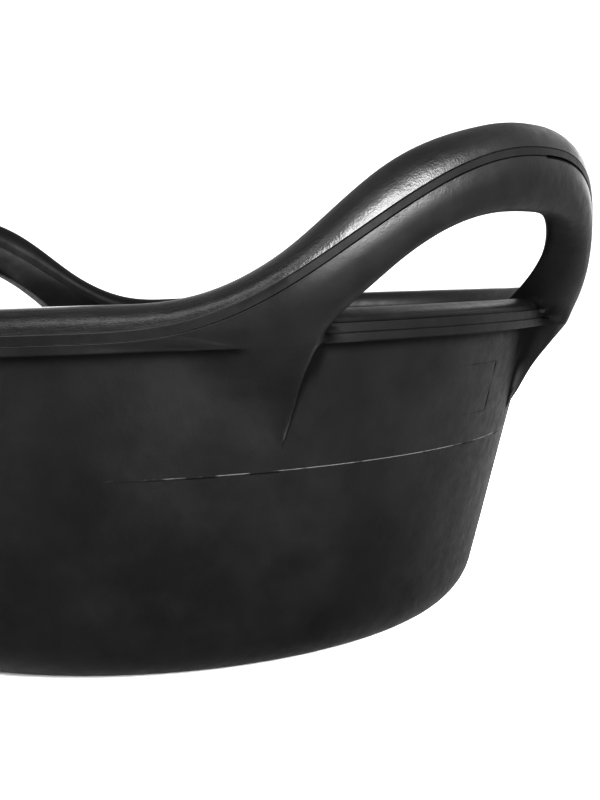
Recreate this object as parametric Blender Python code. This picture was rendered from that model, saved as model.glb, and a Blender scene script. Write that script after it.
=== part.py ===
"""Ground feeder: a round black rubber feed tub with two moulded carrying handles.

Frame: metres, +Z up, origin in the middle of the underside, +X towards one handle.
The rim is level at the front and the back and sweeps up over both hand gaps.
Each sub-part is one member of the moulding, split where the mould's lines run.
"""

import math

import bmesh
import bpy

# Tub body
FLANGE_RADIUS = 0.2150
FLANGE_OVERHANG = 0.0088
WALL_LEAN = 0.0627
CORNER_RADIUS = 0.0290
FLOOR_THICKNESS = 0.0100
INNER_CORNER_RADIUS = 0.0160
WALL_THICKNESS = 0.0100
FLANGE_HEIGHT = 0.1450
MOULD_LINE_HEIGHT = 0.0930

# Rim
FLANGE_THICKNESS = 0.0042
FLANGE_CHAMFER = 0.0010
BAND_THICKNESS = 0.0042
BEAD_HEIGHT = 0.0104
BEAD_OVERHANG = 0.0078
BEAD_ROUNDNESS = 1.9

# Handle sweep, the same at both ends
SWEEP_HALF_ANGLE = math.radians(52.0)
SWEEP_RISE = 0.0668
SWEEP_OUTREACH = 0.0390
SWEEP_POWER = 4.5
SWEEP_FLATNESS = 1.19
GRIP_THICKNESS = 0.0210
CROWN_HEIGHT = 0.0108
CROWN_SHOULDER = 0.0034
SHOULDER_ANGLE = math.radians(16.8)
SHOULDER_SPREAD = math.radians(11.0)
CROWN_NECK = 0.0026
NECK_ANGLE = math.radians(31.6)
NECK_SPREAD = math.radians(16.0)
STRIP_THICKNESS = 0.0034

# Hand gap, legs and the spike of each leg on the wall
GAP_HALF_ANGLE = math.radians(21.6)
GAP_HEIGHT = 0.0460
GAP_POWER = 2.8
LEG_CREST_OUTREACH = 0.0312
LEG_CREST_HEIGHT = 0.2020
LEG_CURVE = 1.9
LEG_TAKEOFF = 4.0
LEG_END_HEIGHT = 0.0012
LEG_EDGE_SHARPNESS = 10.0
GRIP_ROUNDNESS = 2.2
SPIKE_TIP_HEIGHT = 0.1025
SPIKE_TOP_ANGLE = math.radians(31.5)
SPIKE_TIP_ANGLE = math.radians(25.6)
SPIKE_CREST_ANGLE = math.radians(24.5)
SPIKE_CREST_CURVE = 0.7
SPIKE_HOLLOW = 2.2
SPIKE_TOP_HOLLOW = 1.2
SPIKE_HOLLOW_REACH = 0.5
SPIKE_SINK = 0.0015
SEAT_MARGIN = 0.0200

# Rim bar under each hand gap
BAR_HEIGHT = 0.0056
BAR_STEP = 0.0012

CLEARANCE = 0.0003
BAR_END_CLEARANCE = 0.0006

# Fineness of the faces
RING_STEPS = 96
SWEEP_STEPS = 18
BEAD_STEPS = 20
BAR_STEPS = 12
SPIKE_ROWS = 7
DOME_POINTS = 10
CORNER_POINTS = 6
LEG_OUTER_POINTS = 10
LEG_INNER_POINTS = 6
SMOOTH_ANGLE = math.radians(32.0)
MERGE_DISTANCE = 0.00001

# Heights and radii that follow from the sizes above
FLANGE_TOP = FLANGE_HEIGHT + FLANGE_THICKNESS
BAND_TOP = FLANGE_TOP + BAND_THICKNESS
WALL_TOP_RADIUS = FLANGE_RADIUS - FLANGE_OVERHANG
UNDERSIDE_RADIUS = WALL_TOP_RADIUS - WALL_LEAN
LEG_CREST_RADIUS = FLANGE_RADIUS + LEG_CREST_OUTREACH
RIM_INNER_RADIUS = WALL_TOP_RADIUS - WALL_THICKNESS
RIM_OUTER_RADIUS = WALL_TOP_RADIUS + BEAD_OVERHANG
GRIP_OUTER_RADIUS = RIM_OUTER_RADIUS + SWEEP_OUTREACH
GRIP_INNER_RADIUS = GRIP_OUTER_RADIUS - GRIP_THICKNESS
GAP_BASE = FLANGE_TOP
GAP_TOP = GAP_BASE + GAP_HEIGHT

# Looks: colour and roughness of the moulded body, and of the bead and handles that wear smooth
MATT_RUBBER = ((0.020, 0.020, 0.021, 1.0), 0.52)
WORN_RUBBER = ((0.026, 0.026, 0.027, 1.0), 0.42)


def clear_scene():
    """Empty the file of the objects it opened with."""
    for old in list(bpy.data.objects):
        bpy.data.objects.remove(old, do_unlink=True)


def rubber(name, look):
    """A black rubber for one sub-part."""
    material = bpy.data.materials.new(name)
    material.use_nodes = True
    shader = material.node_tree.nodes["Principled BSDF"]
    shader.inputs["Base Color"].default_value, shader.inputs["Roughness"].default_value = look
    shader.inputs["Metallic"].default_value = 0.0
    return material


def add_object(name, bm, look=MATT_RUBBER):
    """Close a bmesh off as a named object, smooth except at its real edges."""
    bmesh.ops.recalc_face_normals(bm, faces=bm.faces)
    mesh = bpy.data.meshes.new(name)
    bm.to_mesh(mesh)
    bm.free()
    mesh.shade_smooth()
    mesh.set_sharp_from_angle(angle=SMOOTH_ANGLE)
    mesh.materials.append(rubber(name + "_rubber", look))
    piece = bpy.data.objects.new(name, mesh)
    bpy.context.scene.collection.objects.link(piece)
    return piece


def mix(start, end, share):
    return start + (end - start) * share


# The tub's section

def wall_slope():
    """Angle of the wall from upright, tangent to the corner arc and through the wall's top."""
    across = WALL_TOP_RADIUS - UNDERSIDE_RADIUS
    up = FLANGE_HEIGHT - CORNER_RADIUS
    return math.atan2(across, up) - math.asin(CORNER_RADIUS / math.hypot(across, up))


WALL_SLOPE = wall_slope()


def wall_radius(height):
    """Outer radius of the tapered wall at a height."""
    return WALL_TOP_RADIUS - (FLANGE_HEIGHT - height) * math.tan(WALL_SLOPE)


def arc(centre, radius, start, end, points):
    """Points (radius, height) along an arc of the section."""
    turns = [mix(start, end, step / points) for step in range(points + 1)]
    return [(centre[0] + radius * math.cos(turn), centre[1] + radius * math.sin(turn)) for turn in turns]


def corner_arc(bottom, top):
    """The tub's rounded outer corner between two angles, measured up from level."""
    return arc((UNDERSIDE_RADIUS, CORNER_RADIUS), CORNER_RADIUS, bottom, top, CORNER_POINTS)


def corner_angle(height):
    """Angle on the corner's arc at a height above the ground."""
    return math.asin(height / CORNER_RADIUS - 1.0)


def floor_profile():
    """Half section of the floor plate, axis to axis, with the lower part of the rounded corner."""
    outer = corner_arc(-math.pi / 2, corner_angle(FLOOR_THICKNESS))
    return [(0.0, 0.0)] + outer + [(0.0, FLOOR_THICKNESS)]


def lower_wall_profile():
    """Section of the wall from the floor plate to the mould line, with its corner and inner fillet."""
    bottom, top = FLOOR_THICKNESS + CLEARANCE, MOULD_LINE_HEIGHT - CLEARANCE / 2
    outer = corner_arc(corner_angle(bottom), -WALL_SLOPE) + [(wall_radius(top), top)]
    fillet_height = bottom + INNER_CORNER_RADIUS * (1.0 - math.sin(WALL_SLOPE))
    fillet_radius = wall_radius(fillet_height) - WALL_THICKNESS - INNER_CORNER_RADIUS * math.cos(WALL_SLOPE)
    centre = (fillet_radius, bottom + INNER_CORNER_RADIUS)
    inner = arc(centre, INNER_CORNER_RADIUS, -WALL_SLOPE, -math.pi / 2, CORNER_POINTS)
    return outer + [(wall_radius(top) - WALL_THICKNESS, top)] + inner


def upper_wall_profile():
    """Section of the wall from the mould line to the flange."""
    bottom, top = MOULD_LINE_HEIGHT + CLEARANCE / 2, FLANGE_HEIGHT - CLEARANCE
    return [
        (wall_radius(bottom), bottom),
        (wall_radius(top), top),
        (wall_radius(top) - WALL_THICKNESS, top),
        (wall_radius(bottom) - WALL_THICKNESS, bottom),
    ]


def flange_profile():
    """Section of the flange ring that carries the rim."""
    top = FLANGE_TOP - CLEARANCE
    return [
        (RIM_INNER_RADIUS, FLANGE_HEIGHT),
        (FLANGE_RADIUS - FLANGE_CHAMFER, FLANGE_HEIGHT),
        (FLANGE_RADIUS, FLANGE_HEIGHT + FLANGE_CHAMFER),
        (FLANGE_RADIUS, top),
        (RIM_INNER_RADIUS, top),
    ]


def seat_profile():
    """Section of the room that the handle's legs leave for the wall and the flange."""
    low = SPIKE_TIP_HEIGHT - SEAT_MARGIN
    deep = wall_radius(low) - WALL_THICKNESS - SEAT_MARGIN
    return [
        (deep, low),
        (wall_radius(low) + CLEARANCE, low),
        (WALL_TOP_RADIUS + CLEARANCE, FLANGE_HEIGHT - CLEARANCE),
        (FLANGE_RADIUS + CLEARANCE, FLANGE_HEIGHT - CLEARANCE),
        (FLANGE_RADIUS + CLEARANCE, FLANGE_TOP),
        (deep, FLANGE_TOP),
    ]


def revolve(name, profile):
    """Spin a section about the tub's axis into one closed ring or disc."""
    bm = bmesh.new()
    points = [bm.verts.new((radius, 0.0, height)) for radius, height in profile]
    edges = [bm.edges.new(pair) for pair in zip(points, points[1:])]
    if profile[0][0] > 0.0:
        edges.append(bm.edges.new((points[-1], points[0])))
    bmesh.ops.spin(
        bm, geom=points + edges, axis=(0.0, 0.0, 1.0), cent=(0.0, 0.0, 0.0),
        angle=2.0 * math.pi, steps=RING_STEPS, use_merge=True,
    )
    bmesh.ops.remove_doubles(bm, verts=bm.verts, dist=MERGE_DISTANCE)
    return add_object(name, bm)


# The rim's sweep over a handle, by azimuth from the handle's middle

def sweep_share(azimuth):
    """How far the rim has risen at an azimuth: 1 over the grip, 0 on the level rim."""
    along = min(abs(azimuth) / SWEEP_HALF_ANGLE, 1.0)
    return max(math.cos(math.pi / 2 * along ** SWEEP_FLATNESS), 0.0) ** SWEEP_POWER


def outreach_share(azimuth):
    """How far the rim has moved outwards at an azimuth, from 0 to 1."""
    along = min(abs(azimuth) / SWEEP_HALF_ANGLE, 1.0)
    return math.cos(math.pi / 2 * along) ** 2


def outer_radius(azimuth):
    return mix(RIM_OUTER_RADIUS, GRIP_OUTER_RADIUS, outreach_share(azimuth))


def inner_radius(azimuth):
    return mix(RIM_INNER_RADIUS, GRIP_INNER_RADIUS, outreach_share(azimuth))


def strip_top(azimuth):
    return BAND_TOP + SWEEP_RISE * sweep_share(azimuth)


def strip_bottom(azimuth):
    return strip_top(azimuth) - mix(BAND_THICKNESS, STRIP_THICKNESS, sweep_share(azimuth))


def place(azimuth, radius, height, side):
    """A point on one side of the tub: side 1 is the +X handle, side -1 the other."""
    return (side * radius * math.cos(azimuth), side * radius * math.sin(azimuth), height)


def dome(inner, outer, base, height, roundness):
    """Section of a rounded bead on a flat base, from its outer foot to its inner foot."""
    middle, half = (inner + outer) / 2, (outer - inner) / 2
    section = []
    for step in range(DOME_POINTS + 1):
        turn = math.pi * step / DOME_POINTS
        across = math.copysign(abs(math.cos(turn)) ** (2.0 / roundness), math.cos(turn))
        up = max(math.sin(turn), 0.0) ** (2.0 / roundness)
        section.append((middle + half * across, base + height * up))
    return section


def loft(name, rows, look):
    """Skin closed rows of points, one after the other, and cap both ends.

    Quads split along their shorter diagonal, so two skins that face each other split alike.
    """
    bm = bmesh.new()
    rings = [[bm.verts.new(point) for point in row] for row in rows]
    for ring, following in zip(rings, rings[1:]):
        for here in range(len(ring)):
            there = (here + 1) % len(ring)
            bm.faces.new((ring[here], ring[there], following[there], following[here]))
    bm.faces.new(rings[0])
    bm.faces.new(reversed(rings[-1]))
    bmesh.ops.triangulate(bm, faces=bm.faces, quad_method="SHORT_EDGE")
    return add_object(name, bm, look)


def handle_azimuths():
    """Azimuths of the sections over a handle, end to end."""
    return [SWEEP_HALF_ANGLE * step / SWEEP_STEPS for step in range(-SWEEP_STEPS, SWEEP_STEPS + 1)]


def level_azimuths():
    """Azimuths of the sections along the level rim between two handles, clear of both."""
    start = SWEEP_HALF_ANGLE + CLEARANCE / RIM_INNER_RADIUS
    return [mix(start, math.pi - start, step / BEAD_STEPS) for step in range(BEAD_STEPS + 1)]


def swell(azimuth, middle, spread):
    """A smooth swelling along the rim, 1 at its middle and 0 past its spread."""
    share = (abs(azimuth) - middle) / spread
    return math.cos(math.pi / 2 * share) ** 2 if abs(share) < 1.0 else 0.0


def crown_height(azimuth):
    """Height of the bead above the strip: fuller at the grip's shoulders, slimmer at the neck before them."""
    level = mix(BEAD_HEIGHT, CROWN_HEIGHT, sweep_share(azimuth))
    shoulder = CROWN_SHOULDER * swell(azimuth, SHOULDER_ANGLE, SHOULDER_SPREAD)
    return level + shoulder - CROWN_NECK * swell(azimuth, NECK_ANGLE, NECK_SPREAD)


def bead_section(azimuth):
    """The rounded bead above the strip."""
    height = crown_height(azimuth)
    return dome(inner_radius(azimuth), outer_radius(azimuth), strip_top(azimuth), height, BEAD_ROUNDNESS)


def strip_section(azimuth):
    """The flat strip between the mould's two parting lines."""
    inner, outer = inner_radius(azimuth), outer_radius(azimuth)
    low, high = strip_bottom(azimuth), strip_top(azimuth) - CLEARANCE
    return [(outer, low), (outer, high), (inner, high), (inner, low)]


def sweep(name, azimuths, section_at, side, look):
    """Skin a section that changes with the azimuth."""
    rows = [[place(azimuth, *point, side) for point in section_at(azimuth)] for azimuth in azimuths]
    return loft(name, rows, look)


# The handle's lower half, its legs and their spikes

def gap_height_at(share):
    """Height of the hand gap's edge at a share of its half width."""
    return GAP_BASE + GAP_HEIGHT * (1.0 - share ** GAP_POWER)


def gap_angle_at(height):
    """Azimuth of the hand gap's edge at a height."""
    share = min(max((GAP_TOP - height) / GAP_HEIGHT, 0.0), 1.0)
    return GAP_HALF_ANGLE * share ** (1.0 / GAP_POWER)


def crest_radius(height):
    """Radius of a leg's outer crest, which curves down and in to the tip on the wall."""
    drop = max(LEG_CREST_HEIGHT - height, 0.0) / (LEG_CREST_HEIGHT - SPIKE_TIP_HEIGHT)
    tip = wall_radius(SPIKE_TIP_HEIGHT) - SPIKE_SINK
    return LEG_CREST_RADIUS - (LEG_CREST_RADIUS - tip) * drop ** LEG_CURVE


def edge_shares(points):
    """Shares from 0 to 1 that crowd towards 1, where the gap's edge is rounded."""
    return [math.sin(math.pi / 2 * step / points) for step in range(points + 1)]


def leg_row(start, end, sharpness, hollow):
    """One closed row of the lower half, from its upper edge to the hand gap's edge.

    Each end is (azimuth, height, outer radius, inner radius).
    """
    outer_shares = edge_shares(LEG_OUTER_POINTS)
    inner_shares = edge_shares(LEG_INNER_POINTS)[-2::-1]
    row = []
    for shares, outward in ((outer_shares, 1.0), (inner_shares, -1.0)):
        for share in shares:
            azimuth, height = mix(start[0], end[0], share), mix(start[1], end[1], share)
            outer = mix(start[2], end[2], share ** hollow)
            inner = mix(start[3], end[3], share)
            half = (outer - inner) / 2 * (1.0 - share ** sharpness) ** (1.0 / sharpness)
            row.append((azimuth, (outer + inner) / 2 + outward * half, height))
    return row


def strip_rows():
    """Rows that hang under the strip, from the grip's middle to where the strip meets the flange."""
    rows = []
    azimuths = [azimuth for azimuth in handle_azimuths() if azimuth >= 0.0]
    azimuths = [azimuth for azimuth in azimuths if strip_bottom(azimuth) > FLANGE_TOP + LEG_END_HEIGHT]
    for step, azimuth in enumerate(azimuths):
        along = step / (len(azimuths) - 1)
        width = math.sin(math.pi / 2 * along)
        height = gap_height_at(width)
        rise = (height - GAP_BASE) / GAP_HEIGHT
        outer = crest_radius(height) + (GRIP_OUTER_RADIUS - crest_radius(GAP_TOP)) * rise ** LEG_TAKEOFF
        inner = mix(RIM_INNER_RADIUS, GRIP_INNER_RADIUS, rise)
        start = (azimuth, strip_bottom(azimuth) - CLEARANCE, outer_radius(azimuth), inner_radius(azimuth))
        end = (GAP_HALF_ANGLE * width, height, outer, inner)
        rows.append(leg_row(start, end, mix(GRIP_ROUNDNESS, LEG_EDGE_SHARPNESS, along), 1.0))
    return rows


def spike_rows():
    """Rows of a leg below the flange, narrowing to its tip; their back is cut to the wall."""
    rows = []
    deep = wall_radius(SPIKE_TIP_HEIGHT) - WALL_THICKNESS
    for step in range(SPIKE_ROWS):
        along = step / (SPIKE_ROWS - 1)
        height = mix(FLANGE_HEIGHT - CLEARANCE, SPIKE_TIP_HEIGHT, along)
        foot = wall_radius(height) - SPIKE_SINK if step else FLANGE_RADIUS
        start = (mix(SPIKE_TOP_ANGLE, SPIKE_TIP_ANGLE, along), height, foot, deep)
        crest_angle = mix(GAP_HALF_ANGLE, SPIKE_CREST_ANGLE, along ** SPIKE_CREST_CURVE)
        end = (crest_angle, height, crest_radius(height), deep)
        hollow = mix(SPIKE_TOP_HOLLOW, SPIKE_HOLLOW, min(along / SPIKE_HOLLOW_REACH, 1.0))
        rows.append(leg_row(start, end, LEG_EDGE_SHARPNESS, hollow))
    return rows


def add_grip(name, side, seat):
    """Lower half of a handle with both legs, fitted round the flange and the wall."""
    half = strip_rows() + spike_rows()
    mirrored = [[(-azimuth, radius, height) for azimuth, radius, height in row] for row in half[:0:-1]]
    rows = [[place(*point, side) for point in row] for row in mirrored + half]
    grip = loft(name, rows, WORN_RUBBER)
    cut = grip.modifiers.new("seat_on_tub", "BOOLEAN")
    cut.operation = "DIFFERENCE"
    cut.solver = "EXACT"
    cut.object = seat
    return grip


def add_seat_cutter():
    """The wall and flange with their clearance, which shapes the back of the legs."""
    seat = revolve("seat_cutter", seat_profile())
    seat.hide_render = True
    seat.display_type = "WIRE"
    return seat


def bar_section():
    """The rim bar under a hand gap: a band with a lower rounded bead on it."""
    inner, outer = RIM_INNER_RADIUS, FLANGE_RADIUS - BAR_STEP
    top = dome(inner, outer - BAR_STEP, BAND_TOP, BAR_HEIGHT, BEAD_ROUNDNESS)
    return [(inner, FLANGE_TOP), (outer, FLANGE_TOP), (outer, BAND_TOP)] + top


def add_bar(name, side):
    """Rim bar between the two legs of a handle; its ends follow the gap's slanted edges."""
    rows = []
    for step in range(-BAR_STEPS // 2, BAR_STEPS // 2 + 1):
        along = 2.0 * step / BAR_STEPS
        row = []
        for radius, height in bar_section():
            reach = gap_angle_at(height) - BAR_END_CLEARANCE / radius
            row.append(place(along * reach, radius, height, side))
        rows.append(row)
    return loft(name, rows, MATT_RUBBER)


def build_tub():
    """Floor, walls and flange: everything that is round about the tub's axis."""
    revolve("tub_floor", floor_profile())
    revolve("lower_wall", lower_wall_profile())
    revolve("upper_wall", upper_wall_profile())
    revolve("rim_flange", flange_profile())


def build_rim():
    """The level front and back of the rim, between the handles."""
    for name, side in (("back", 1), ("front", -1)):
        sweep(name + "_bead", level_azimuths(), bead_section, side, WORN_RUBBER)
        sweep(name + "_band", level_azimuths(), strip_section, side, MATT_RUBBER)


def build_handles():
    """Crown, strip, lower half with legs, and rim bar of each handle."""
    seat = add_seat_cutter()
    for name, side in (("right", 1), ("left", -1)):
        sweep(name + "_crown", handle_azimuths(), bead_section, side, WORN_RUBBER)
        sweep(name + "_strip", handle_azimuths(), strip_section, side, MATT_RUBBER)
        add_grip(name + "_grip", side, seat)
        add_bar(name + "_bar", side)


def main():
    clear_scene()
    build_tub()
    build_rim()
    build_handles()


main()
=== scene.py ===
from math import asin, atan2, copysign, cos, exp, hypot, pi, radians, sin, tan

import bmesh
import bpy
from bpy.props import FloatProperty, FloatVectorProperty, PointerProperty
from mathutils import Matrix, Vector, noise


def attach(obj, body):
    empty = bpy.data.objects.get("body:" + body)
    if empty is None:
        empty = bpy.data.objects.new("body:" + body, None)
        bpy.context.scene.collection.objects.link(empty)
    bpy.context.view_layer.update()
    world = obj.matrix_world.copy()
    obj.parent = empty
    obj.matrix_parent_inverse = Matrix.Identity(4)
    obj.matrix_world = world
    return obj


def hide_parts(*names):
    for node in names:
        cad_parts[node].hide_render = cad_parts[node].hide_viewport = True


bl_info = {
    "name": "Ground feeder",
    "version": (1, 0, 0),
    "blender": (4, 5, 0),
    "location": "3D View > Sidebar > Feeder",
    "description": "Builds a moulded black rubber ground feeder with two carrying handles",
    "category": "Add Mesh",
}

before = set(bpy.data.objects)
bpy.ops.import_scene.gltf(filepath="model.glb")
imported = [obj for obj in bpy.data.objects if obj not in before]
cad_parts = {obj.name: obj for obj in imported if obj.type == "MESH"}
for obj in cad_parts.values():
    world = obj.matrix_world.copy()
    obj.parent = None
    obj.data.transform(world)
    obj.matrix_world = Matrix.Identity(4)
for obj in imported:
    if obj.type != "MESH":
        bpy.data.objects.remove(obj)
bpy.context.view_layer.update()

TUB_NODES = (
    "tub_floor", "lower_wall", "upper_wall", "rim_flange",
    "right_grip", "left_grip", "right_bar", "left_bar",
)
RIM_NODES = (
    "front_bead", "back_bead", "front_band", "back_band",
    "right_crown", "left_crown", "right_strip", "left_strip",
)

# Faces across each part of a quarter of the moulding
GAP_COLUMNS = 20
SIDE_COLUMNS = 5
LEG_COLUMNS = 20
OPEN_COLUMNS = 40
STATIONS = 48
BAR_ROWS = 9
DOME_ROWS = 18
CORNER_ROWS = 9
NECK_ROWS = 7
STRIP_POINTS = 4
RIM_ROWS = DOME_ROWS + STRIP_POINTS + 1

# Small sizes of the surface
FLANGE_EDGE = 0.0009
MERGE_DISTANCE = 0.000004
SHARP_ANGLE = radians(38.0)


def length(description, default):
    return FloatProperty(
        description=description, default=default, min=0.0,
        unit="LENGTH", subtype="DISTANCE", precision=4,
    )


def angle(description, degrees):
    return FloatProperty(
        description=description, default=radians(degrees), subtype="ANGLE", unit="ROTATION",
    )


def number(description, default):
    return FloatProperty(description=description, default=default, min=0.0)


def colour(description, default):
    return FloatVectorProperty(
        description=description, default=default, size=3, min=0.0, max=1.0, subtype="COLOR",
    )


class FeederSizes(bpy.types.PropertyGroup):
    """Sizes of the moulding."""

    underside_radius: length("Radius of the flat underside", 0.1435)
    corner_radius: length("Radius of the tub's lower outer corner", 0.029)
    floor_thickness: length("Thickness of the floor", 0.010)
    inner_corner_radius: length("Radius of the fillet between floor and wall", 0.016)
    wall_thickness: length("Thickness of the wall", 0.010)
    wall_top_radius: length("Outer radius of the wall under the flange", 0.2062)
    flange_height: length("Height of the flange's underside", 0.145)
    mould_line_height: length("Height of the thin line round the wall", 0.093)
    flange_radius: length("Outer radius of the flange", 0.215)
    flange_thickness: length("Thickness of the flange's outer edge", 0.0042)
    band_thickness: length("Height of the band on the level rim", 0.0042)
    bead_height: length("Height of the bead on the level rim", 0.0104)
    bead_overhang: length("How far the bead stands out past the wall", 0.0078)
    bead_roundness: number("Power of the bead's rounded section", 1.9)
    sweep_half_angle: angle("Angle from a handle's middle to the level rim", 52.0)
    sweep_rise: length("How far the rim rises over a handle", 0.0668)
    sweep_outreach: length("How far the rim moves outwards over a handle", 0.0390)
    sweep_power: number("How tightly the rise gathers round the handle", 4.5)
    sweep_flatness: number("How flat the top of the handle is", 1.19)
    grip_thickness: length("Thickness of the grip", 0.0210)
    crown_height: length("Height of the grip's rounded top", 0.0108)
    crown_shoulder: length("Extra height at the grip's shoulders", 0.0034)
    shoulder_angle: angle("Where a shoulder is fullest", 16.8)
    shoulder_spread: angle("How far a shoulder reaches to each side", 11.0)
    crown_neck: length("How much lower the crown is where it leaves the level rim", 0.0026)
    neck_angle: angle("Where the crown is slimmest", 31.6)
    neck_spread: angle("How far the neck reaches to each side", 16.0)
    strip_thickness: length("Height of the strip over a handle", 0.0034)
    gap_half_angle: angle("Half width of the hand gap", 21.6)
    gap_height: length("Height of the hand gap over the flange", 0.0460)
    gap_power: number("How square the hand gap's top is", 2.8)
    leg_crest_radius: length("Radius of a leg's crest at its top", 0.2462)
    leg_crest_height: length("Height where a leg's crest starts to curve in", 0.2020)
    leg_curve: number("How late the crest curves in", 1.9)
    leg_takeoff: number("How late the crest leaves the grip", 4.0)
    grip_roundness: number("Power of the grip's rounded underside", 2.2)
    leg_sharpness: number("Power of a leg's squared edges", 5.0)
    spike_tip_height: length("Height of the pointed end of a leg", 0.1025)
    spike_sink: length("How far the crest's curve ends inside the wall", 0.0015)
    spike_top_angle: angle("Outer edge of a leg at the flange", 31.5)
    spike_tip_angle: angle("Outer edge of a leg at its tip", 25.6)
    spike_crest_angle: angle("Inner edge of a leg at its tip", 24.5)
    spike_crest_curve: number("How the inner edge leans", 0.7)
    spike_hollow: number("How hollow a leg's outer face is at its tip", 2.2)
    spike_top_hollow: number("How hollow it is at the flange", 1.2)
    bar_height: length("Height of the bead under a hand gap", 0.0056)
    bar_step: length("How far the bar steps in from the flange", 0.0005)
    leg_fillet: length("Fillet where a leg's side meets the wall and the bar", 0.0055)
    groove_width: length("Half width of the mould's lines", 0.0003)
    groove_depth: length("Depth of the mould's lines", 0.0003)


class FeederLooks(bpy.types.PropertyGroup):
    """Colours and finishes of the rubber and of the stage."""

    rubber: colour("Colour of the black rubber", (0.0012, 0.0012, 0.0012))
    bloom: colour("Colour of the greyer patches in the rubber", (0.0065, 0.0065, 0.0066))
    worn: colour("Colour where the handles and the bead are rubbed", (0.0080, 0.0080, 0.0081))
    # Feed dust inside the bowl, which also paints fill light there
    dust_and_painted_fill_colour: colour("Colour of the feed dust on the inside", (0.022, 0.0215, 0.021))
    # Painted glint: this pale colour tints the edges that catch the light, and the torn flash along the
    # mould's lines
    flash_and_glint: colour("Colour of thin torn edges along the mould's lines", (0.30, 0.30, 0.30))
    matt_roughness: number("Roughness of the tub", 0.56)
    worn_roughness: number("Roughness of the handles and the bead", 0.24)
    matt_gloss: number("Strength of the tub's sheen", 0.105)
    worn_gloss: number("Strength of the sheen on the handles and the bead", 0.34)
    floor: colour("Colour of the floor of the stage", (0.92, 0.92, 0.92))
    floor_cloud: colour("Colour of the floor's faint clouds", (0.86, 0.86, 0.86))


def mix(start, end, share):
    return start + (end - start) * share


def blend(start, end, share):
    """A point part of the way between two points."""
    return tuple(mix(a, b, share) for a, b in zip(start, end))


def looked_up(table, value):
    """The second number that goes with a value of the first, in a table of rising pairs."""
    for (low, low_result), (high, high_result) in zip(table, table[1:]):
        if value <= high:
            return mix(low_result, high_result, (value - low) / (high - low))
    return table[-1][1]


def clamp(share):
    return min(max(share, 0.0), 1.0)


def ease(share):
    share = clamp(share)
    return share * share * (3.0 - 2.0 * share)


def window(value, start, stop, soft):
    """1 between two values and 0 outside them, with soft ends."""
    return ease((value - start) / soft) * ease((stop - value) / soft)


def above_zero(value, soft):
    """The value where it is over 0 and nearly 0 below, with a soft bend between."""
    return (value + hypot(value, soft)) / 2


def squared(power, value):
    """The other coordinate of a point on a rounded section; the higher the power, the squarer."""
    return (1.0 - abs(value) ** power) ** (1.0 / power)


def section_corner(power):
    """Both coordinates of the point where such a section turns its corner."""
    return 2.0 ** (-1.0 / power)


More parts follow.
